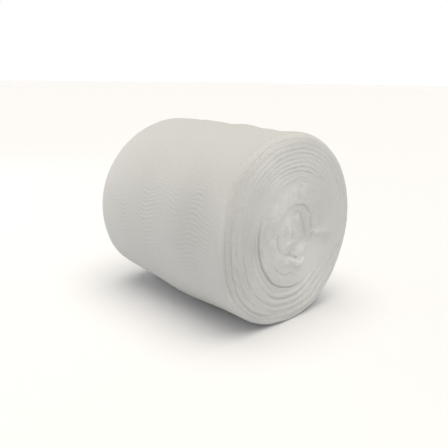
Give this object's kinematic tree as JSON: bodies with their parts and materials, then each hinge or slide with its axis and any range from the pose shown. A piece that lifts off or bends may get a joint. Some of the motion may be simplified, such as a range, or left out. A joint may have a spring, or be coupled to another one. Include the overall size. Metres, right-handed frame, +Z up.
{
  "type": "gauze bandage roll",
  "caption": "Wide roll of folded absorbent gauze lying on its side, with its turns and crumpled heart showing at one end.",
  "frame": {"origin": "on the surface that the roll lies on, under the middle of the roll", "axes": "+X along the roll's axis towards the end that shows the crumpled heart, +Y level and across the roll, +Z up"},
  "size_m": [0.2326, 0.2021, 0.201],
  "materials": {
    "gauze": "bleached absorbent cotton gauze, open plain weave in several plies, matt and slightly warm white"
  },
  "bodies": {
    "root": {"roll": "gauze"}
  },
  "joints": []
}
